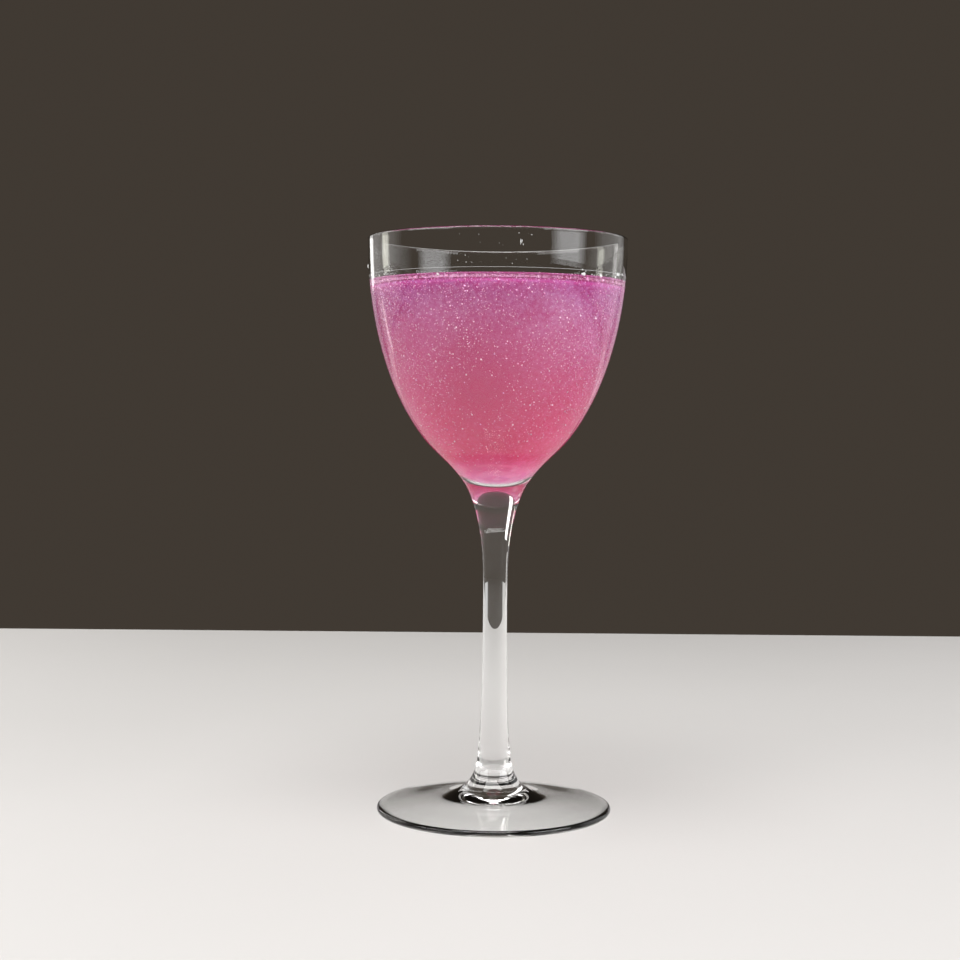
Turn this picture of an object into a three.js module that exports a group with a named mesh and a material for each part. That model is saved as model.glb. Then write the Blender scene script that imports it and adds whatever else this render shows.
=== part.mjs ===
// A stemmed cocktail glass with the drink in it. Two pieces: the glass and the drink.
// Millimetres, +Z up, the origin on the table under the centre of the foot.
import * as THREE from 'three';

// Glass, outside
const rimRadius = 37.6;
const rimHeight = 166.0; // where the rounded lip starts
const lipRadius = 0.5; // half the wall at the lip
const bowlDepth = 69.2; // rim down to the tip of the half-ellipse that the bowl follows
const bowlJoinHeight = 103; // the flare of the stem runs into the ellipse here
const footRadius = 34.2;
const footEdgeRadius = 0.9;
const restingRingInnerRadius = 32.2;
const footHollowHeight = 3.6; // the underside is dished, so the foot rests on its outer ring
const stemRadius = 3.5;
const stemWaistHeight = 58;

// Glass, inside
const cavityFloorHeight = 96.5;

// Drink
const drinkLevel = 153.8;
const drinkGap = 0.3; // clear of the glass all round

// Fineness
const stepsAround = 64;
const footHollowSteps = 6;
const footEdgeSteps = 5;
const stemSteps = 20;
const bowlSteps = 11;
const lipSteps = 4;
const cavitySteps = 15;

function arc(centreRadius, centreHeight, radius, fromDegrees, toDegrees, steps) {
  return Array.from({ length: steps + 1 }, (unused, step) => {
    const degrees = THREE.MathUtils.lerp(fromDegrees, toDegrees, step / steps);
    const angle = THREE.MathUtils.degToRad(degrees);
    const outward = centreRadius + radius * Math.cos(angle);
    return new THREE.Vector2(outward, centreHeight + radius * Math.sin(angle));
  });
}

function smoothLine(pairs) {
  const knots = pairs.map(([radius, height]) => new THREE.Vector3(radius, height, 0));
  return new THREE.CatmullRomCurve3(knots, false, 'centripetal');
}

function pointsAlong(curve, steps) {
  return curve.getSpacedPoints(steps).map((point) => new THREE.Vector2(point.x, point.y));
}

function bowlRadiusAt(height) {
  const drop = (rimHeight - height) / bowlDepth;
  return rimRadius * Math.sqrt(1 - drop * drop);
}

// The dished underside, from the axis out to the resting ring. It runs nearly side by side
// with the top of the foot.
function footHollowCurve() {
  return smoothLine([
    [0, footHollowHeight],
    [6, 3.4],
    [11.5, 2.85],
    [17, 2.05],
    [25, 1.05],
    [restingRingInnerRadius, 0],
  ]);
}

// The top of the foot sweeps up into the stem, which swells again under the bowl.
function stemCurve() {
  return smoothLine([
    [footRadius - footEdgeRadius, 2 * footEdgeRadius],
    [25, 3.1],
    [17, 4.1],
    [11.5, 5.6],
    [7.7, 8.3],
    [5.7, 11.8],
    [4.6, 18],
    [3.9, 31],
    [stemRadius, stemWaistHeight],
    [3.6, 70],
    [4.2, 79],
    [5.6, 86.4],
    [8.1, 93.7],
    [11.2, 98.4],
    [bowlRadiusAt(bowlJoinHeight), bowlJoinHeight],
  ]);
}

function bowlOutside() {
  const startAngle = Math.asin((rimHeight - bowlJoinHeight) / bowlDepth);
  return Array.from({ length: bowlSteps + 1 }, (unused, step) => {
    const angle = startAngle * (1 - step / bowlSteps);
    const height = rimHeight - bowlDepth * Math.sin(angle);
    return new THREE.Vector2(rimRadius * Math.cos(angle), height);
  });
}

// The inside of the bowl, from its floor up to the lip. The wall is thickest at the floor.
function cavityCurve() {
  return smoothLine([
    [0, cavityFloorHeight],
    [3.6, 97.1],
    [7.1, 99.2],
    [10.8, 102.4],
    [15.6, 106.2],
    [20.2, 110.7],
    [24.8, 116.9],
    [29.2, 125.1],
    [33.0, 135.7],
    [35.2, 146.7],
    [36.3, 156.9],
    [rimRadius - 2 * lipRadius, rimHeight],
  ]);
}

function withoutRepeats(points) {
  const apart = 1e-6;
  return points.filter((point, i) => i === 0 || point.distanceTo(points[i - 1]) > apart);
}

function turned(points) {
  const geometry = new THREE.LatheGeometry(withoutRepeats(points), stepsAround);
  geometry.rotateX(Math.PI / 2); // the lathe turns about Y, the glass stands along Z
  return geometry;
}

function glassOutline() {
  const edgeCentre = footRadius - footEdgeRadius;
  return [
    ...pointsAlong(footHollowCurve(), footHollowSteps),
    ...arc(edgeCentre, footEdgeRadius, footEdgeRadius, -90, 90, footEdgeSteps),
    ...pointsAlong(stemCurve(), stemSteps),
    ...bowlOutside(),
    ...arc(rimRadius - lipRadius, rimHeight, lipRadius, 0, 180, lipSteps),
    ...pointsAlong(cavityCurve(), cavitySteps).reverse(),
  ];
}

// The drink fills the cavity up to its level, a small gap inside the wall.
function drinkOutline() {
  const cavity = cavityCurve();
  const wall = [];
  for (let step = 0; step <= cavitySteps; step += 1) {
    const point = cavity.getPointAt(step / cavitySteps);
    const along = cavity.getTangentAt(step / cavitySteps);
    const inside = new THREE.Vector2(point.x - drinkGap * along.y, point.y + drinkGap * along.x);
    wall.push(inside);
  }
  wall[0].x = 0;
  const below = wall.filter((point) => point.y < drinkLevel);
  const lower = below[below.length - 1];
  const upper = wall[below.length];
  const share = (drinkLevel - lower.y) / (upper.y - lower.y);
  const edge = lower.clone().lerp(upper, share);
  return [...below, edge, new THREE.Vector2(0, drinkLevel)];
}

function piece(name, geometry, colour, roughness) {
  const material = new THREE.MeshStandardMaterial({ color: colour, roughness, metalness: 0 });
  const mesh = new THREE.Mesh(geometry, material);
  mesh.name = name;
  return mesh;
}

const cocktail = new THREE.Group();
cocktail.add(piece('glass', turned(glassOutline()), 0xdde3e6, 0.03));
cocktail.add(piece('drink', turned(drinkOutline()), 0xc0608c, 0.1));

export default cocktail;
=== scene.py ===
# A stemmed cocktail glass filled with a pink, shimmering drink.
# Metres, +Z up, the axis of the glass on Z. Outlines are drawn in millimetres and scaled once.
import bmesh
import bpy
import math
import numpy as np
from mathutils import Matrix, Vector


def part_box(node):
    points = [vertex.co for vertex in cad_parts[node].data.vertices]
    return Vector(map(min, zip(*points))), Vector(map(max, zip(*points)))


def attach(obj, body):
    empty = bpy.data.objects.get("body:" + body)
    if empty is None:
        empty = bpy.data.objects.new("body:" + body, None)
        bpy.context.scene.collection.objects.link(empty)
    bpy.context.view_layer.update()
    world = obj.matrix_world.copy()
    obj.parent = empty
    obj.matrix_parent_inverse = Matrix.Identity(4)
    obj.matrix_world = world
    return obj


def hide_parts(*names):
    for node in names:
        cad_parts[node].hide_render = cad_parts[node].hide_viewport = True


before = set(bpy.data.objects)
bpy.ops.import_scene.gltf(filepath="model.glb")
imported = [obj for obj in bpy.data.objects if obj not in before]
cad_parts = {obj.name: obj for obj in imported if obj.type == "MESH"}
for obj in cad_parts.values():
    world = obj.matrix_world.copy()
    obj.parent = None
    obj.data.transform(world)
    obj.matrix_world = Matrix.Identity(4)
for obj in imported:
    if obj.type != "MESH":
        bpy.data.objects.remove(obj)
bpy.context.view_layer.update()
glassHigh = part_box("glass")[1]
drinkLow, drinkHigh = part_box("drink")

mm = 0.001
rimRadius = glassHigh.x / mm
glassHeight = glassHigh.z / mm
drinkLevel = drinkHigh.z / mm
drinkGap = 0.3  # the drink's solid in the frame stands this far off the glass
cavityFloor = drinkLow.z / mm - drinkGap


# Lines of points, each a radius and a height

def splineThrough(knots, spacing):
    # the smoothest line through the knots, with no jump in its bend, so that reflections run cleanly
    knots = np.array(knots, float)
    gap = np.linalg.norm(np.diff(knots, axis=0), axis=1)
    run = np.append(0, np.cumsum(gap))
    count = len(knots)
    system = np.eye(count)
    turns = np.zeros((count, 2))
    for i in range(1, count - 1):
        system[i, i - 1:i + 2] = gap[i - 1], 2 * (gap[i - 1] + gap[i]), gap[i]
        ahead = (knots[i + 1] - knots[i]) / gap[i]
        behind = (knots[i] - knots[i - 1]) / gap[i - 1]
        turns[i] = 6 * (ahead - behind)
    bend = np.linalg.solve(system, turns)
    along = np.linspace(0, run[-1], round(run[-1] / spacing) + 1)
    k = np.clip(np.searchsorted(run, along, side="right") - 1, 0, count - 2)
    width = gap[k][:, None]
    before = (run[k + 1] - along)[:, None] / width
    after = 1 - before
    straight = before * knots[k] + after * knots[k + 1]
    bulge = (before**3 - before) * bend[k] + (after**3 - after) * bend[k + 1]
    return straight + bulge * width**2 / 6


def fromTheAxis(middle, near, far, spacing):
    # a line that leaves the axis square to it: the near knots are mirrored, and that half is dropped
    mirrored = [(-radius, height) for radius, height in reversed(near)]
    points = splineThrough([*mirrored, middle, *near, *far], spacing)
    return np.vstack([middle, points[points[:, 0] > spacing / 3]])


def arcPoints(centre, radius, fromDegrees, toDegrees, steps):
    angles = np.radians(np.linspace(fromDegrees, toDegrees, steps + 1))
    return np.array(centre) + radius * np.stack([np.cos(angles), np.sin(angles)], 1)


def pushedOut(points, distance):
    # each point moved square to the line, away from the axis or down
    along = np.gradient(points, axis=0)
    along /= np.linalg.norm(along, axis=1)[:, None]
    return points + distance * np.stack([along[:, 1], -along[:, 0]], 1)


def withoutRepeats(points):
    sameWithin = 1e-5
    keep = np.append(True, np.linalg.norm(np.diff(points, axis=0), axis=1) > sameWithin)
    return points[keep]


# Geometry Nodes helpers

class NodeTree:
    # a short way to write a geometry tree: add a node, and give its inputs by name or number
    def __init__(self, name, inputs):
        self.group = bpy.data.node_groups.new(name, "GeometryNodeTree")
        face = self.group.interface
        face.new_socket("Geometry", in_out="INPUT", socket_type="NodeSocketGeometry")
        for title, kind in inputs:
            face.new_socket(title, in_out="INPUT", socket_type="NodeSocket" + kind)
        face.new_socket("Geometry", in_out="OUTPUT", socket_type="NodeSocketGeometry")
        self.given = self.group.nodes.new("NodeGroupInput").outputs
        self.result = self.group.nodes.new("NodeGroupOutput").inputs[0]

    def join(self, value, socket):
        if isinstance(value, bpy.types.NodeSocket):
            self.group.links.new(value, socket)
        else:
            socket.default_value = value

    def add(self, kind, values=(), **settings):
        node = self.group.nodes.new(kind)
        for key, value in settings.items():
            setattr(node, key, value)
        for key, value in dict(values).items():
            self.join(value, node.inputs[key])
        return node

    def maths(self, operation, first, second=0.0, third=0.0):
        return self.add("ShaderNodeMath", {0: first, 1: second, 2: third}, operation=operation).outputs[0]

    def between(self, share, low, high):
        return self.maths("MULTIPLY_ADD", share, self.maths("SUBTRACT", high, low), low)

    def spread(self, value, fromLow, fromHigh, toLow, toHigh):
        ends = {"From Min": fromLow, "From Max": fromHigh, "To Min": toLow, "To Max": toHigh}
        return self.add("ShaderNodeMapRange", {"Value": value, **ends}).outputs[0]

    def chance(self, low, high, seed):
        values = {2: low, 3: high, "Seed": seed}
        return self.add("FunctionNodeRandomValue", values, data_type="FLOAT").outputs[1]

    def position(self):
        return self.add("GeometryNodeInputPosition").outputs[0]

    def split(self, vector):
        return self.add("ShaderNodeSeparateXYZ", {0: vector}).outputs

    def vector(self, x, y, z):
        return self.add("ShaderNodeCombineXYZ", {0: x, 1: y, 2: z}).outputs[0]

    def finish(self, geometry):
        real = self.add("GeometryNodeRealizeInstances", {"Geometry": geometry}).outputs[0]
        painted = self.add("GeometryNodeSetMaterial", {"Geometry": real, "Material": self.given["Material"]})
        self.join(painted.outputs[0], self.result)
        return self.group


def setInputs(modifier, values):
    for item in modifier.node_group.interface.items_tree:
        if item.in_out == "INPUT" and item.name in values:
            modifier[item.identifier] = values[item.name]


def plainMesh(name, source, tree, values):
    # runs the tree on the source and keeps the result as an ordinary mesh object
    modifier = source.modifiers.new(tree.name, "NODES")
    modifier.node_group = tree
    setInputs(modifier, values)
    bpy.context.view_layer.update()
    evaluated = source.evaluated_get(bpy.context.evaluated_depsgraph_get())
    mesh = bpy.data.meshes.new_from_object(evaluated)
    mesh.name = name
    bpy.data.objects.remove(source)
    piece = bpy.data.objects.new(name, mesh)
    bpy.context.scene.collection.objects.link(piece)
    return piece


def lineObject(name, points):
    mesh = bpy.data.meshes.new(name)
    vertices = [(radius * mm, 0, height * mm) for radius, height in points]
    edges = [(i, i + 1) for i in range(len(points) - 1)]
    mesh.from_pydata(vertices, edges, [])
    line = bpy.data.objects.new(name, mesh)
    bpy.context.scene.collection.objects.link(line)
    return line


def turningTree():
    # a sheet with a row for each point of the line, wrapped once round Z, welded at the seam and the poles
    inputs = [("Steps Around", "Int"), ("Weld", "Float"), ("Material", "Material")]
    tree = NodeTree("turnedRoundTheAxis", inputs)
    line = tree.given["Geometry"]
    size = tree.add("GeometryNodeAttributeDomainSize", {"Geometry": line}, component="MESH")
    rows = size.outputs["Point Count"]
    columns = tree.maths("ADD", tree.given["Steps Around"], 1)
    squares = {"Size X": 1.0, "Size Y": 1.0, "Vertices X": columns, "Vertices Y": rows}
    sheet = tree.add("GeometryNodeMeshGrid", squares).outputs["Mesh"]
    across, up = tree.split(tree.position())[:2]
    turn = tree.maths("MULTIPLY", tree.maths("ADD", across, 0.5), 2 * math.pi)
    lastRow = tree.maths("SUBTRACT", rows, 1)
    row = tree.maths("ROUND", tree.maths("MULTIPLY", tree.maths("ADD", up, 0.5), lastRow))
    spot = tree.add("GeometryNodeSampleIndex", data_type="FLOAT_VECTOR", domain="POINT")
    tree.join(line, spot.inputs["Geometry"])
    tree.join(tree.position(), spot.inputs["Value"])
    tree.join(row, spot.inputs["Index"])
    onLine = tree.split(spot.outputs[0])
    x = tree.maths("MULTIPLY", onLine[0], tree.maths("COSINE", turn))
    y = tree.maths("MULTIPLY", onLine[0], tree.maths("SINE", turn))
    there = tree.vector(x, y, onLine[2])
    wrapped = tree.add("GeometryNodeSetPosition", {"Geometry": sheet, "Position": there}).outputs[0]
    seam = {"Geometry": wrapped, "Distance": tree.given["Weld"]}
    welded = tree.add("GeometryNodeMergeByDistance", seam).outputs[0]
    return tree.finish(tree.add("GeometryNodeSetShadeSmooth", {"Geometry": welded}).outputs[0])


turning = turningTree()
weldWithin = 0.002 * mm


def turned(name, points, stepsAround, material):
    source = lineObject(name + "Line", withoutRepeats(points))
    values = {"Steps Around": stepsAround, "Weld": weldWithin, "Material": material}
    return plainMesh(name, source, turning, values)


def outwardFaces(piece):
    # turns the faces of a closed piece outwards
    work = bmesh.new()
    work.from_mesh(piece.data)
    bmesh.ops.recalc_face_normals(work, faces=work.faces)
    if work.calc_volume(signed=True) < 0:
        bmesh.ops.reverse_faces(work, faces=work.faces)
    work.to_mesh(piece.data)
    work.free()


# Materials

def newMaterial(name):
    material = bpy.data.materials.new(name)
    material.use_nodes = True
    nodes = material.node_tree.nodes
    return material, nodes, material.node_tree.links, nodes["Principled BSDF"]


def placeOn(nodes):
    return nodes.new("ShaderNodeTexCoord").outputs["Object"]


def noiseOn(nodes, links, scale, detail, roughness=0.5, distortion=0.0):
    noise = nodes.new("ShaderNodeTexNoise")
    noise.inputs["Scale"].default_value = scale
    noise.inputs["Detail"].default_value = detail
    noise.inputs["Roughness"].default_value = roughness
    noise.inputs["Distortion"].default_value = distortion
    links.new(placeOn(nodes), noise.inputs["Vector"])
    return noise.outputs["Fac"]


def rangeOf(nodes, links, value, fromLow, fromHigh, toLow, toHigh):
    spread = nodes.new("ShaderNodeMapRange")
    ends = {"From Min": fromLow, "From Max": fromHigh, "To Min": toLow, "To Max": toHigh}
    for key, number in ends.items():
        spread.inputs[key].default_value = number
    links.new(value, spread.inputs["Value"])
    return spread.outputs[0]


def mixValues(nodes, links, share, first, second):
    mix = nodes.new("ShaderNodeMix")
    mix.inputs[0].default_value = share
    links.new(first, mix.inputs[2])
    links.new(second, mix.inputs[3])
    return mix.outputs[0]


def mixColours(nodes, links, share, first, second):
    mix = nodes.new("ShaderNodeMix")
    mix.data_type = "RGBA"
    links.new(share, mix.inputs[0])
    for value, socket in ((first, mix.inputs[6]), (second, mix.inputs[7])):
        if isinstance(value, bpy.types.NodeSocket):
            links.new(value, socket)
        else:
            socket.default_value = (*value, 1)
    return mix.outputs[2]


def lettingLampsThrough(material, shader, tint):
    # light goes straight through the clear surface to what is behind it, dimmed by the tint
    nodes, links = material.node_tree.nodes, material.node_tree.links
    clear = nodes.new("ShaderNodeBsdfTransparent")
    clear.inputs["Color"].default_value = (*tint, 1)
    path = nodes.new("ShaderNodeLightPath")
    mix = nodes.new("ShaderNodeMixShader")
    either = nodes.new("ShaderNodeMath")
    either.operation = "MAXIMUM"
    links.new(path.outputs["Is Shadow Ray"], either.inputs[0])
    links.new(path.outputs["Is Diffuse Ray"], either.inputs[1])
    links.new(either.outputs[0], mix.inputs[0])
    links.new(shader.outputs[0], mix.inputs[1])
    links.new(clear.outputs[0], mix.inputs[2])
    links.new(mix.outputs[0], nodes["Material Output"].inputs["Surface"])


def clearMaterial(name, tint, bend):
    material, nodes, links, shader = newMaterial(name)
    shader.inputs["Base Color"].default_value = (*tint, 1)
    shader.inputs["Transmission Weight"].default_value = 1.0
    shader.inputs["IOR"].default_value = bend
    return material, nodes, links, shader


clearGlassLook = dict(
    tint=(0.985, 0.99, 0.988),
    bend=1.5,
    lampShare=(0.985, 0.99, 0.99),
    haze=(0.0, 0.008),  # roughness where it's cleanest and where it's been handled
    handledScale=60.0,
    handledRange=(0.55, 0.8),
    waveScale=45.0,
    waveHeight=0.00012,
    waveStrength=0.5,
)


def clearGlass():
    look = clearGlassLook
    material, nodes, links, shader = clearMaterial("clearGlass", look["tint"], look["bend"])
    marks = noiseOn(nodes, links, look["handledScale"], detail=4)
    haze = rangeOf(nodes, links, marks, *look["handledRange"], *look["haze"])
    links.new(haze, shader.inputs["Roughness"])
    waves = nodes.new("ShaderNodeBump")
    waves.inputs["Strength"].default_value = look["waveStrength"]
    waves.inputs["Distance"].default_value = look["waveHeight"]
    links.new(noiseOn(nodes, links, look["waveScale"], detail=1), waves.inputs["Height"])
    links.new(waves.outputs[0], shader.inputs["Normal"])
    lettingLampsThrough(material, shader, look["lampShare"])
    return material


liquidLook = dict(
    tint=(1, 1, 1),
    bend=1.345,
    absorbTint=(0.80, 0.03, 0.40),
    absorbDensity=45.0,
    lampShare=(0.96, 0.96, 0.96),
    rippleScale=90.0,
    rippleRange=(0.4, 0.8),
    rippleHaze=(0.0, 0.02),
)


def liquidMaterial():
    look = liquidLook
    material, nodes, links, shader = clearMaterial("pinkLiquid", look["tint"], look["bend"])
    ripple = noiseOn(nodes, links, look["rippleScale"], detail=2)
    haze = rangeOf(nodes, links, ripple, *look["rippleRange"], *look["rippleHaze"])
    links.new(haze, shader.inputs["Roughness"])
    soak = nodes.new("ShaderNodeVolumeAbsorption")
    soak.inputs["Color"].default_value = (*look["absorbTint"], 1)
    soak.inputs["Density"].default_value = look["absorbDensity"]
    links.new(soak.outputs[0], nodes["Material Output"].inputs["Volume"])
    lettingLampsThrough(material, shader, look["lampShare"])
    return material


cloudLook = dict(
    # the top colours are darker and the foot colours lighter: partly the drink's own lavender and coral,
    # partly painted shade at the top and painted light at the foot, to even out the lamp from above
    deepTop=(0.375, 0.020, 0.210),
    paleTop=(0.51, 0.240, 0.515),  # pearly lavender pink
    deepFoot=(0.81, 0.004, 0.122),  # coral red
    paleFoot=(0.96, 0.103, 0.300),
    # painted shade: a darker band just under the surface, where the lamp from above lights the cloud most
    shadeUnderTop=(0.18, 0.020, 0.085),  # just under the surface
    topFade=(1.6, 0.7),  # millimetres below the level where it starts and is whole
    # painted light: the bottom of the cloud faces down into shade and is made paler
    lightAtFloor=(1.0, 0.28, 0.58),  # at the very bottom, seen through the thick base of the bowl
    floorFade=(1.0, 8.0),  # millimetres above the floor where it is whole and ends
    heart=(-0.004, -0.028, 0.122),  # painted shade: the middle of a deeper patch at the front, drawn with the least pearl
    heartReach=0.034,
    heartCore=0.2,  # beside the reach
    pearlInTheShadedHeart=0.2,
    swirlScale=38.0,
    swirlRange=(0.38, 0.66),
    cloudletScale=150.0,
    cloudletRange=(0.36, 0.64),
    cloudletShare=0.35,
    grainScale=980.0,
    grainRange=(0.45, 0.64),
    grainShare=0.5,
    roughness=0.45,
    shine=0.1,  # low, as the liquid around it bends light nearly alike
    glowShare=0.5,
    glowReach=(1.0, 0.4, 0.55),
    glowScale=0.01,
)


def pearlShare(nodes, links):
    # how much pearl has gathered, from 0 to 1: broad swirls, small clouds and grain, least in the heart, a
    # deeper patch of painted shade at the front
    look = cloudLook
    swirl = noiseOn(nodes, links, look["swirlScale"], detail=3, distortion=0.8)
    cloudlets = noiseOn(nodes, links, look["cloudletScale"], detail=3, roughness=0.6, distortion=0.6)
    grain = noiseOn(nodes, links, look["grainScale"], detail=2, roughness=0.6)
    pearl = rangeOf(nodes, links, swirl, *look["swirlRange"], 0.0, 1.0)
    cloudlets = rangeOf(nodes, links, cloudlets, *look["cloudletRange"], 0.0, 1.0)
    pearl = mixValues(nodes, links, look["cloudletShare"], pearl, cloudlets)
    grain = rangeOf(nodes, links, grain, *look["grainRange"], 0.0, 1.0)
    pearl = mixValues(nodes, links, look["grainShare"], pearl, grain)
    heart = nodes.new("ShaderNodeVectorMath")
    heart.operation = "DISTANCE"
    heart.inputs[1].default_value = look["heart"]
    links.new(placeOn(nodes), heart.inputs[0])
    # painted shade: the pearl thins towards the heart at the front
    core, reach = look["heartCore"] * look["heartReach"], look["heartReach"]
    away = rangeOf(nodes, links, heart.outputs["Value"], core, reach, look["pearlInTheShadedHeart"], 1.0)
    gathered = nodes.new("ShaderNodeMath")
    gathered.operation = "MULTIPLY"
    links.new(pearl, gathered.inputs[0])
    links.new(away, gathered.inputs[1])
    return gathered.outputs[0]


def cloudColour(nodes, links):
    look = cloudLook
    pearl = pearlShare(nodes, links)
    atTop = mixColours(nodes, links, pearl, look["deepTop"], look["paleTop"])
    atFoot = mixColours(nodes, links, pearl, look["deepFoot"], look["paleFoot"])
    split = nodes.new("ShaderNodeSeparateXYZ")
    links.new(placeOn(nodes), split.inputs[0])
    height = split.outputs[2]
    low, high = cavityFloor * mm, drinkLevel * mm
    # painted light and shade by height: from the darker top colours down to the lighter foot colours
    lower = rangeOf(nodes, links, height, low, high, 1.0, 0.0)
    # painted shade in a band just under the surface
    topStarts, topWhole = [high - below * mm for below in look["topFade"]]
    nearTop = rangeOf(nodes, links, height, topStarts, topWhole, 0.0, 1.0)
    # painted light at the bottom of the cloud, which faces down into shade
    floorWhole, floorEnds = [low + above * mm for above in look["floorFade"]]
    nearFloor = rangeOf(nodes, links, height, floorWhole, floorEnds, 1.0, 0.0)
    body = mixColours(nodes, links, lower, atTop, atFoot)
    body = mixColours(nodes, links, nearFloor, body, look["lightAtFloor"])
    return mixColours(nodes, links, nearTop, body, look["shadeUnderTop"])


def cloudMaterial():
    look = cloudLook
    material, nodes, links, shader = newMaterial("pinkCloud")
    links.new(cloudColour(nodes, links), shader.inputs["Base Color"])
    shader.inputs["Roughness"].default_value = look["roughness"]
    shader.inputs["Specular IOR Level"].default_value = look["shine"]
    shader.inputs["Subsurface Weight"].default_value = look["glowShare"]
    shader.inputs["Subsurface Radius"].default_value = look["glowReach"]
    shader.inputs["Subsurface Scale"].default_value = look["glowScale"]
    return material


glitterLook = dict(
    toneScale=900.0,
    toneRange=(0.35, 0.65),
    roughness=0.38,
    metal=0.55,
)


def glitterMaterial(name, colour, other):
    look = glitterLook
    material, nodes, links, shader = newMaterial(name)
    tone = noiseOn(nodes, links, look["toneScale"], detail=1)
    share = rangeOf(nodes, links, tone, *look["toneRange"], 0.0, 1.0)
    links.new(mixColours(nodes, links, share, colour, other), shader.inputs["Base Color"])
    shader.inputs["Roughness"].default_value = look["roughness"]
    shader.inputs["Metallic"].default_value = look["metal"]
    return material


# The glass

glassShape = dict(
    lipRadius=0.5,
    lipSteps=12,
    bowlDepth=69.2,  # rim down to the tip of the half-ellipse that the bowl follows
    footRadius=34.2,
    footEdgeRadius=0.9,
    footEdgeSteps=14,
    restingRing=32.2,
    footHollow=3.6,
    hollowSpacing=1.0,
    lineSpacing=0.9,
    stepsAround=180,
)


def bowlRadiusAt(height):
    shape = glassShape
    lipHeight = glassHeight - shape["lipRadius"]
    return rimRadius * math.sqrt(1 - ((lipHeight - height) / shape["bowlDepth"])**2)


def cavityLine(spacing):
    # up the inside of the bowl from the middle of its floor to the lip
    lipRadius = glassShape["lipRadius"]
    floor = [(3.6, 97.1), (7.1, 99.2), (10.8, 102.4)]
    wall = [
        (15.6, 106.2), (20.2, 110.7), (24.8, 116.9), (29.2, 125.1),
        (33.0, 135.7), (35.2, 146.7), (36.3, 156.9), (rimRadius - 2 * lipRadius, glassHeight - lipRadius),
    ]
    return fromTheAxis((0, cavityFloor), floor, wall, spacing)


def outsideLine(spacing):
    # from the top edge of the foot up the stem and the outside of the bowl to the lip
    shape = glassShape
    footEdge = (shape["footRadius"] - shape["footEdgeRadius"], 2 * shape["footEdgeRadius"])
    foot = [footEdge, (25, 3.1), (17, 4.1), (11.5, 5.6), (7.7, 8.3), (5.7, 11.8)]
    stem = [(4.6, 18), (3.9, 31), (3.5, 58), (3.6, 70), (4.2, 79), (5.6, 86.4), (8.1, 93.7), (11.2, 98.4)]
    bowl = [(bowlRadiusAt(height), height) for height in (103, 107, 112, 119, 128, 139, 151, 160)]
    lip = (rimRadius, glassHeight - shape["lipRadius"])
    return splineThrough([*foot, *stem, *bowl, lip], spacing)


def footHollowLine(spacing):
    # the underside is dished, nearly side by side with the top of the foot
    shape = glassShape
    near = [(6, 3.4), (11.5, 2.85)]
    far = [(17, 2.05), (25, 1.05), (shape["restingRing"], 0)]
    return fromTheAxis((0, shape["footHollow"]), near, far, spacing)


def glassOutline():
    shape = glassShape
    edgeCentre = (shape["footRadius"] - shape["footEdgeRadius"], shape["footEdgeRadius"])
    lipCentre = (rimRadius - shape["lipRadius"], glassHeight - shape["lipRadius"])
    return np.vstack([
        footHollowLine(shape["hollowSpacing"]),
        arcPoints(edgeCentre, shape["footEdgeRadius"], -90, 90, shape["footEdgeSteps"]),
        outsideLine(shape["lineSpacing"]),
        arcPoints(lipCentre, shape["lipRadius"], 0, 180, shape["lipSteps"]),
        cavityLine(shape["lineSpacing"])[::-1],
    ])


glassPiece = turned("clearStemware", glassOutline(), glassShape["stepsAround"], clearGlass())
outwardFaces(glassPiece)
print("glass done:", len(glassPiece.data.polygons), "faces")


# The drink: a clear pink skin, with the cloudy body just inside it and the glitter between the two

drinkShape = dict(
    intoWall=0.06,  # how far the drink reaches into the glass, so that no air gap shows
    meniscusRise=0.5,
    meniscusReach=0.4,
    meniscusEnd=9,  # times its reach
    meniscusPoints=30,
    skinAtWall=1.6,
    skinAtFloor=0.15,
    skinAtTop=0.6,
    skinThickensOver=20,  # height above the floor
    cornerRadius=1.5,
    cornerSteps=8,
    poleRadius=0.2,  # no point comes nearer the axis, but for the pole
    lineSpacing=1.0,
    stepsAround=144,
)


def drinkOutline():
    shape = drinkShape
    rise, reach = shape["meniscusRise"], shape["meniscusReach"]
    wall = pushedOut(cavityLine(shape["lineSpacing"]), shape["intoWall"])
    wall[0, 0] = 0
    contact = drinkLevel + rise
    wallRadius = np.interp(contact, wall[:, 1], wall[:, 0])
    off = shape["meniscusEnd"] * reach * np.linspace(0, 1, shape["meniscusPoints"])**2
    curve = np.stack([wallRadius - off, drinkLevel + rise * np.exp(-off / reach)], 1)
    flat = [[share * (wallRadius - off[-1]), drinkLevel] for share in (0.75, 0.5, 0.25, 0)]
    return np.vstack([wall[wall[:, 1] < contact], curve, flat])


def insideLine(depthAtWall, depthAtFloor, depthAtTop):
    # the outline of what lies that deep in the drink
    shape = drinkShape
    wall = cavityLine(shape["lineSpacing"])
    climb = np.clip((wall[:, 1] - cavityFloor) / shape["skinThickensOver"], 0, 1)
    depth = depthAtFloor + (depthAtWall - depthAtFloor) * climb
    inward = pushedOut(wall, -1) - wall
    line = wall + inward * depth[:, None]
    line[0] = 0, cavityFloor + depthAtFloor
    keep = line[:, 0] > shape["poleRadius"]
    keep[0] = True
    line = line[keep]
    top, corner = drinkLevel - depthAtTop, shape["cornerRadius"]
    side = line[line[:, 1] < top - corner]
    sideRadius = np.interp(top - corner, line[:, 1], line[:, 0])
    shoulder = arcPoints((sideRadius - corner, top - corner), corner, 0, 90, shape["cornerSteps"])
    flat = [[share * (sideRadius - corner), top] for share in (0.8, 0.6, 0.4, 0.2, 0)]
    return np.vstack([side, shoulder, flat])


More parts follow.
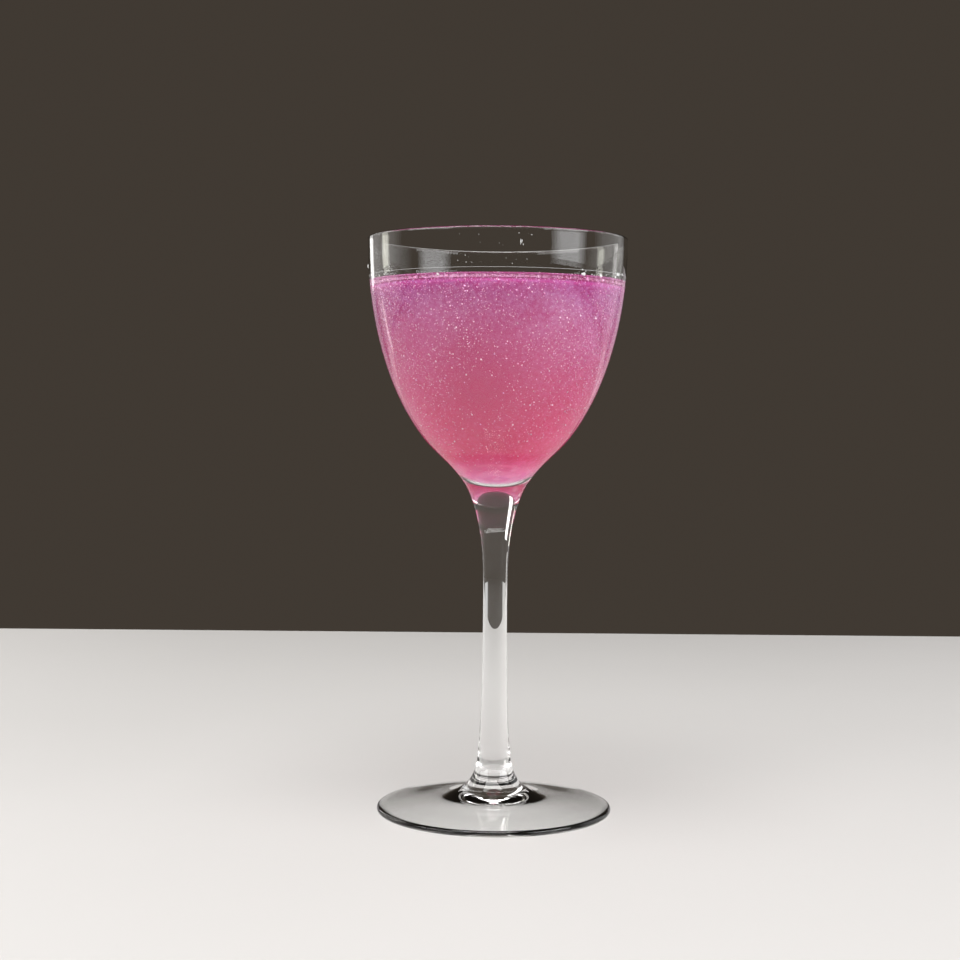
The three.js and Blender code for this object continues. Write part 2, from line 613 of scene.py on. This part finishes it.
drinkPiece = turned("drinkSkin", drinkOutline(), drinkShape["stepsAround"], liquidMaterial())
outwardFaces(drinkPiece)
cloudLine = insideLine(drinkShape["skinAtWall"], drinkShape["skinAtFloor"], drinkShape["skinAtTop"])
cloudPiece = turned("drinkCloud", cloudLine, drinkShape["stepsAround"], cloudMaterial())
outwardFaces(cloudPiece)
print("drink done:", len(drinkPiece.data.polygons), "and", len(cloudPiece.data.polygons), "faces")


# The glitter: flat flakes adrift between the cloud and the wall, in clumps, denser towards the top

glitterShape = dict(
    depthAtFloor=0.4,
    halfDepth=0.5,  # flakes lie this far to either side of the middle of the skin
    smallest=0.09,
    largest=0.27,
    thickness=0.3,  # beside its radius
    clumpScale=42.0,
    clumpRange=(0.36, 0.64),
    clumpShares=(0.2, 1.9),  # how dense it is between the clumps and in them
    risingShares=(0.12, 1.25),  # how dense it is at the floor and at the level
    shareInTheHeart=0.35,
    driftUnderLid=0.3,
    driftOverFloor=0.25,
    fullDriftHeight=118,
    hostSteps=64,
)

whiteFlakes = dict(
    perSquareMetre=4.5e5, seed=3, grow=1.0, corners=6,
    colours=((1.0, 0.86, 0.96), (1.0, 0.74, 0.92)),
)

pinkFlakes = dict(
    perSquareMetre=5.8e5, seed=8, grow=0.9, corners=6,
    colours=((1.0, 0.52, 0.78), (0.86, 0.52, 0.92)),
)

dustFlakes = dict(
    perSquareMetre=1.25e6, seed=15, grow=0.65, corners=4,
    colours=((0.92, 0.70, 0.98), (1.0, 0.70, 0.88)),
)


def flakeDensity(tree, height):
    given, shape = tree.given, glitterShape
    clump = tree.add("ShaderNodeTexNoise", {"Scale": given["Clump Scale"], "Detail": 2.0}).outputs[0]
    clumps = tree.spread(clump, *shape["clumpRange"], *shape["clumpShares"])
    rising = tree.spread(height, given["Low"], given["High"], *shape["risingShares"])
    toHeart = {0: tree.position(), 1: given["Heart"]}
    away = tree.add("ShaderNodeVectorMath", toHeart, operation="DISTANCE").outputs["Value"]
    thinned = tree.spread(away, 0.0, given["Heart Reach"], given["Share In The Heart"], 1.0)
    patchy = tree.maths("MULTIPLY", tree.maths("MULTIPLY", clumps, rising), thinned)
    return tree.maths("MULTIPLY", patchy, given["Flakes Per Square Metre"])


def flakeDrift(tree, height, normal):
    # in or out from the middle of the skin, less where the skin is thin: under the surface and at the floor
    given, shape = tree.given, glitterShape
    inwards = tree.maths("MULTIPLY", given["Half Depth"], -1.0)
    drift = tree.chance(inwards, given["Half Depth"], given["Seed"])
    underLid = tree.spread(tree.split(normal)[2], 0.0, 1.0, 1.0, shape["driftUnderLid"])
    overFloor = tree.spread(height, given["Low"], given["Full Drift"], shape["driftOverFloor"], 1.0)
    distance = tree.maths("MULTIPLY", drift, tree.maths("MULTIPLY", underLid, overFloor))
    return tree.add("ShaderNodeVectorMath", {0: normal, "Scale": distance}, operation="SCALE").outputs[0]


def glitterTree():
    inputs = [
        ("Flakes Per Square Metre", "Float"), ("Half Depth", "Float"), ("Smallest", "Float"),
        ("Largest", "Float"), ("Low", "Float"), ("High", "Float"), ("Full Drift", "Float"),
        ("Thickness", "Float"), ("Corners", "Int"), ("Clump Scale", "Float"), ("Heart", "Vector"),
        ("Heart Reach", "Float"), ("Share In The Heart", "Float"), ("Seed", "Int"), ("Material", "Material"),
    ]
    tree = NodeTree("glitterAdrift", inputs)
    given, seed = tree.given, tree.given["Seed"]
    height = tree.split(tree.position())[2]
    scatter = {"Mesh": given["Geometry"], "Density": flakeDensity(tree, height), "Seed": seed}
    spots = tree.add("GeometryNodeDistributePointsOnFaces", scatter).outputs
    offset = flakeDrift(tree, height, spots["Normal"])
    moved = tree.add("GeometryNodeSetPosition", {"Geometry": spots["Points"], "Offset": offset}).outputs[0]
    form = {"Vertices": given["Corners"], "Radius": 1.0, "Depth": given["Thickness"]}
    flake = tree.add("GeometryNodeMeshCylinder", form).outputs["Mesh"]
    fullTurn = 6.283
    anyWay = {0: (0, 0, 0), 1: (fullTurn, fullTurn, fullTurn), "Seed": tree.maths("ADD", seed, 11)}
    angle = tree.add("FunctionNodeRandomValue", anyWay, data_type="FLOAT_VECTOR").outputs[0]
    mostlySmall = tree.maths("POWER", tree.chance(0.0, 1.0, tree.maths("ADD", seed, 23)), 3.0)
    growth = tree.maths("MULTIPLY", mostlySmall, tree.maths("SUBTRACT", given["Largest"], given["Smallest"]))
    size = tree.maths("ADD", given["Smallest"], growth)
    put = {"Points": moved, "Instance": flake, "Rotation": angle, "Scale": size}
    return tree.finish(tree.add("GeometryNodeInstanceOnPoints", put).outputs[0])


glitterAdrift = glitterTree()


def glitter(name, kind, materialName):
    shape, skin = glitterShape, drinkShape
    middle = insideLine(skin["skinAtWall"] / 2, shape["depthAtFloor"], skin["skinAtTop"] / 2)
    host = turned(name + "Host", middle, shape["hostSteps"], None)
    outwardFaces(host)
    values = {
        "Flakes Per Square Metre": kind["perSquareMetre"],
        "Half Depth": shape["halfDepth"] * mm,
        "Smallest": shape["smallest"] * kind["grow"] * mm,
        "Largest": shape["largest"] * kind["grow"] * mm,
        "Low": cavityFloor * mm,
        "High": drinkLevel * mm,
        "Full Drift": shape["fullDriftHeight"] * mm,
        "Thickness": shape["thickness"],
        "Corners": kind["corners"],
        "Clump Scale": shape["clumpScale"],
        "Heart": cloudLook["heart"],
        "Heart Reach": cloudLook["heartReach"],
        "Share In The Heart": shape["shareInTheHeart"],
        "Seed": kind["seed"],
        "Material": glitterMaterial(materialName, *kind["colours"]),
    }
    piece = plainMesh(name, host, glitterAdrift, values)
    facesEach = kind["corners"] + 2
    print(name, "done:", len(piece.data.polygons) // facesEach, "flakes")
    return piece


whiteGlitter = glitter("glitterWhite", whiteFlakes, "pearlGlitter")
pinkGlitter = glitter("glitterPink", pinkFlakes, "pinkGlitter")
dustGlitter = glitter("glitterDust", dustFlakes, "lavenderGlitter")


# Drops, bubbles and the wet line that the drink has left on the wall above its level

def dropTree():
    inputs = [
        ("Count", "Int"), ("From Angle", "Float"), ("To Angle", "Float"), ("Low", "Float"),
        ("High", "Float"), ("Low Radius", "Float"), ("High Radius", "Float"), ("Smallest", "Float"),
        ("Largest", "Float"), ("Depth", "Float"), ("Stretch", "Float"), ("Seed", "Int"),
        ("Material", "Material"),
    ]
    tree = NodeTree("dropsOnTheWall", inputs)
    given = tree.given
    seeds = [tree.maths("ADD", given["Seed"], offset) for offset in (1, 2, 3, 4)]
    places, turns, sizes, heights = [tree.chance(0.0, 1.0, seed) for seed in seeds]
    angle = tree.between(turns, given["From Angle"], given["To Angle"])
    height = tree.between(places, given["Low"], given["High"])
    radius = tree.between(places, given["Low Radius"], given["High Radius"])
    x = tree.maths("MULTIPLY", radius, tree.maths("COSINE", angle))
    y = tree.maths("MULTIPLY", radius, tree.maths("SINE", angle))
    spots = {"Count": given["Count"], "Position": tree.vector(x, y, height)}
    points = tree.add("GeometryNodePoints", spots).outputs[0]
    form = {"Segments": 16, "Rings": 10, "Radius": 1.0}
    ball = tree.add("GeometryNodeMeshUVSphere", form).outputs["Mesh"]
    drop = tree.add("GeometryNodeSetShadeSmooth", {"Geometry": ball}).outputs[0]
    size = tree.between(tree.maths("POWER", sizes, 2.0), given["Smallest"], given["Largest"])
    deep = tree.maths("MULTIPLY", size, given["Depth"])
    tall = tree.maths("MULTIPLY", size, tree.between(heights, 1.0, given["Stretch"]))
    put = {
        "Points": points, "Instance": drop,
        "Rotation": tree.vector(0.0, 0.0, angle), "Scale": tree.vector(deep, size, tall),
    }
    return tree.finish(tree.add("GeometryNodeInstanceOnPoints", put).outputs[0])


dropsOnTheWall = dropTree()
insideWall = cavityLine(drinkShape["lineSpacing"])


def wallRadiusAt(height):
    return float(np.interp(height, insideWall[:, 1], insideWall[:, 0]))


# Degrees are counted from the front, positive to the right, and heights from the drink's level.
# Sizes are radii across. Beside them depth is a drop's thickness, and its height is between 1 and stretch.

wetLineShape = dict(height=1.75, bead=0.03, beadSteps=10, stepsAround=180)

dropGroups = dict(
    dropsAtTheRight=dict(
        count=22, degrees=(37, 78), heights=(0.0, 1.9),
        sizes=(0.10, 0.55), depth=0.09, stretch=0.6, seed=5),
    dropsAtTheLeft=dict(
        count=8, degrees=(-80, -55), heights=(0.0, 1.4),
        sizes=(0.10, 0.35), depth=0.09, stretch=0.7, seed=9),
    specks=dict(
        count=26, degrees=(-30, 16), heights=(2.5, 11.0),
        sizes=(0.04, 0.12), depth=0.22, stretch=1.2, seed=12),
    drips=dict(
        count=3, degrees=(5, 13), heights=(7.6, 9.2),
        sizes=(0.07, 0.10), depth=0.25, stretch=24.0, seed=27),
    bubblesAtTheWall=dict(
        count=6, degrees=(-60, 60), heights=(-0.3, 0.1),
        sizes=(0.12, 0.32), depth=0.5, stretch=0.9, seed=31),
    dropOutside=dict(
        count=1, degrees=(-90, -89), heights=(4.5, 4.6),
        sizes=(0.5, 0.6), depth=0.5, stretch=1.4, seed=2,
        wall=bowlRadiusAt),
)

dropLook = dict(
    tint=(0.99, 0.97, 0.98),
    bend=1.34,
    lampShare=(0.97, 0.97, 0.97),
    hazeScale=300.0,
    hazeRange=(0.4, 0.8),
    haze=(0.0, 0.02),
)


def dropMaterial():
    look = dropLook
    material, nodes, links, shader = clearMaterial("clearDrops", look["tint"], look["bend"])
    mist = noiseOn(nodes, links, look["hazeScale"], detail=1)
    haze = rangeOf(nodes, links, mist, *look["hazeRange"], *look["haze"])
    links.new(haze, shader.inputs["Roughness"])
    lettingLampsThrough(material, shader, look["lampShare"])
    return material


def wallDrops(name, material, count, degrees, heights, sizes, depth, stretch, seed, wall=wallRadiusAt):
    low, high = drinkLevel + heights[0], drinkLevel + heights[1]
    values = {
        "Count": count,
        "From Angle": math.radians(degrees[0] - 90),
        "To Angle": math.radians(degrees[1] - 90),
        "Low": low * mm,
        "High": high * mm,
        "Low Radius": wall(low) * mm,
        "High Radius": wall(high) * mm,
        "Smallest": sizes[0] * mm,
        "Largest": sizes[1] * mm,
        "Depth": depth,
        "Stretch": stretch,
        "Seed": seed,
        "Material": material,
    }
    start = lineObject(name + "Start", [(0, 0), (0, 1)])  # only carries the tree, which makes its own points
    return plainMesh(name, start, dropsOnTheWall, values)


def wetLine(material):
    # the thin bead at the top edge of the film that clings to the wall
    shape = wetLineShape
    height = drinkLevel + shape["height"]
    ring = arcPoints((wallRadiusAt(height), height), shape["bead"], -180, 180, shape["beadSteps"])
    ring[-1] = ring[0]
    return turned("wetLine", ring, shape["stepsAround"], material)


def joined(name, pieces):
    # several plain meshes made into one piece
    work = bmesh.new()
    for piece in pieces:
        work.from_mesh(piece.data)
    mesh = bpy.data.meshes.new(name)
    work.to_mesh(mesh)
    work.free()
    mesh.materials.append(pieces[0].data.materials[0])
    for piece in pieces:
        bpy.data.objects.remove(piece)
    whole = bpy.data.objects.new(name, mesh)
    bpy.context.scene.collection.objects.link(whole)
    return whole


clearDrops = dropMaterial()
wallDropPieces = [wallDrops(name, clearDrops, **group) for name, group in dropGroups.items()]
wetDrops = joined("wetDrops", [wetLine(clearDrops), *wallDropPieces])
print("wet drops done:", len(wetDrops.data.polygons), "faces")


# Joining the pieces to the frame

for piece in (glassPiece, drinkPiece, cloudPiece, whiteGlitter, pinkGlitter, dustGlitter, wetDrops):
    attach(piece, "root")
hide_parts("glass")
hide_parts("drink")


# Floor, light and camera

floorSet = dict(
    behind=0.41,
    across=3.0,
    ahead=2.6,
    thick=0.01,
    drop=0.0002,  # a hair below the foot
    colour=(0.56, 0.55, 0.54),
    darker=0.9,
    mottleScale=12.0,
    mottleRange=(0.3, 0.7),
    mottleShare=0.12,
    roughness=0.6,
    edgeRadius=0.004,
    edgeSteps=4,
)

roomSet = dict(colour=(0.052, 0.042, 0.033), strength=1.0)

cameraSet = dict(
    distance=0.504, height=0.117, pitch=2.31, turn=0.53, roll=0.42,
    lens=65.0, sensor=36.0, nearest=0.01,
)

lampSet = dict(
    aimHeight=0.11,
    fadingPanels=4,  # a fading box is this many panels of growing width, whose light adds up
    panelGap=0.001,
)

# Degrees are counted round from the camera to the right. fade is how much of the width fades out.
# A box that isn't throughGlass is seen by reflection only.

softBoxes = dict(
    softAbove=dict(
        degrees=-12, distance=0.35, height=0.95, width=0.80, tall=0.80,
        radiance=5.6, colour=(1.0, 0.99, 0.98)),
    keyLeft=dict(
        degrees=-62, distance=0.95, height=0.62, width=0.90, tall=0.60,
        radiance=3.0, colour=(1.0, 0.99, 0.98)),
    keyRight=dict(
        degrees=62, distance=0.95, height=0.62, width=0.90, tall=0.60,
        radiance=3.3, colour=(0.99, 0.99, 1.0)),
    broadLeft=dict(
        degrees=-118, distance=0.95, height=0.24, width=0.95, tall=1.00,
        radiance=0.95, colour=(1.0, 0.98, 0.96), fade=0.5, throughGlass=False),
    broadRight=dict(
        degrees=118, distance=0.95, height=0.24, width=0.95, tall=1.00,
        radiance=0.95, colour=(0.98, 0.99, 1.0), fade=0.5, throughGlass=False),
    lowLeft=dict(
        degrees=-143, distance=0.95, height=-0.08, width=0.40, tall=0.14,
        radiance=0.55, colour=(1.0, 0.98, 0.96), fade=0.5),
    lowRight=dict(
        degrees=143, distance=0.95, height=-0.08, width=0.40, tall=0.14,
        radiance=0.55, colour=(0.98, 0.99, 1.0), fade=0.5),
    edgeLeft=dict(
        degrees=-154, distance=0.95, height=0.06, width=0.36, tall=0.30,
        radiance=0.40, colour=(1.0, 0.93, 0.96), fade=0.5, throughGlass=False),
    edgeRight=dict(
        degrees=154, distance=0.95, height=0.06, width=0.36, tall=0.30,
        radiance=0.55, colour=(1.0, 0.93, 0.98), fade=0.5, throughGlass=False),
    softLeft=dict(
        degrees=-115, distance=0.80, height=0.40, width=0.16, tall=0.50,
        radiance=2.6, colour=(1.0, 1.0, 0.88), fade=0.2),
    softLeftBack=dict(
        degrees=-147, distance=0.80, height=0.40, width=0.17, tall=0.50,
        radiance=1.8, colour=(1.0, 0.98, 0.96), fade=0.2),
    streakLeft=dict(
        degrees=-127.5, distance=0.80, height=0.03, width=0.06, tall=0.15,
        radiance=1.6, colour=(1.0, 0.98, 0.94), fade=0.5),
    softRightFront=dict(
        degrees=64, distance=0.85, height=0.34, width=0.56, tall=0.42,
        radiance=3.0, colour=(0.97, 0.98, 1.0), fade=0.6),
)


def floorMaterial():
    look = floorSet
    material, nodes, links, shader = newMaterial("paleFloor")
    mottle = noiseOn(nodes, links, look["mottleScale"], detail=3)
    share = rangeOf(nodes, links, mottle, *look["mottleRange"], 0.0, look["mottleShare"])
    darker = tuple(look["darker"] * part for part in look["colour"])
    links.new(mixColours(nodes, links, share, look["colour"], darker), shader.inputs["Base Color"])
    shader.inputs["Roughness"].default_value = look["roughness"]
    return material


def makeFloor():
    shape = floorSet
    half = shape["across"] / 2
    near, far = -shape["ahead"], shape["behind"]
    top = -shape["drop"]
    outline = [(-half, near), (half, near), (half, far), (-half, far)]
    corners = [(x, y, z) for z in (top - shape["thick"], top) for x, y in outline]
    sides = [(0, 3, 2, 1), (4, 5, 6, 7), (0, 1, 5, 4), (1, 2, 6, 5), (2, 3, 7, 6), (3, 0, 4, 7)]
    mesh = bpy.data.meshes.new("tableTop")
    mesh.from_pydata(corners, [], sides)
    mesh.materials.append(floorMaterial())
    floor = bpy.data.objects.new("tableTop", mesh)
    bpy.context.scene.collection.objects.link(floor)
    bevel = floor.modifiers.new("softEdge", "BEVEL")
    bevel.width = shape["edgeRadius"]
    bevel.segments = shape["edgeSteps"]


def makePanel(name, turn, reach, height, width, tall, radiance, colour, throughGlass):
    data = bpy.data.lights.new(name, "AREA")
    data.shape = "RECTANGLE"
    data.size = width
    data.size_y = tall
    data.energy = radiance * math.pi * data.size * data.size_y
    data.color = colour
    lamp = bpy.data.objects.new(name, data)
    bpy.context.scene.collection.objects.link(lamp)
    lamp.location = (reach * math.sin(turn), -reach * math.cos(turn), height)
    aim = Vector((0, 0, lampSet["aimHeight"])) - lamp.location
    lamp.rotation_euler = aim.to_track_quat("-Z", "Y").to_euler()
    lamp.visible_transmission = throughGlass


def makeSoftBox(name, degrees, distance, height, width, tall, radiance, colour, fade=0.0, throughGlass=True):
    panels = lampSet["fadingPanels"] if fade else 1
    for panel in range(panels):
        reach = distance + lampSet["panelGap"] * panel
        across = width * (1 - fade * panel / panels)
        share = radiance / panels
        makePanel(name, math.radians(degrees), reach, height, across, tall, share, colour, throughGlass)


def makeWorld():
    world = bpy.data.worlds.new("softRoom")
    world.use_nodes = True
    sky = world.node_tree.nodes["Background"]
    sky.inputs["Color"].default_value = (*roomSet["colour"], 1)
    sky.inputs["Strength"].default_value = roomSet["strength"]
    bpy.context.scene.world = world


def makeCamera():
    spot = cameraSet
    data = bpy.data.cameras.new("view")
    data.lens = spot["lens"]
    data.sensor_width = spot["sensor"]
    data.clip_start = spot["nearest"]
    camera = bpy.data.objects.new("view", data)
    bpy.context.scene.collection.objects.link(camera)
    turn = Matrix.Rotation(math.radians(spot["turn"]), 4, "Z")
    tilt = Matrix.Rotation(math.radians(90 - spot["pitch"]), 4, "X")
    roll = Matrix.Rotation(math.radians(spot["roll"]), 4, "Z")
    place = Matrix.Translation((0, -spot["distance"], spot["height"]))
    camera.matrix_world = place @ turn @ tilt @ roll
    bpy.context.scene.camera = camera


makeFloor()
for name, box in softBoxes.items():
    makeSoftBox(name, **box)
makeWorld()
makeCamera()
bpy.context.scene.view_settings.view_transform = "Standard"
print("floor, light and camera done")
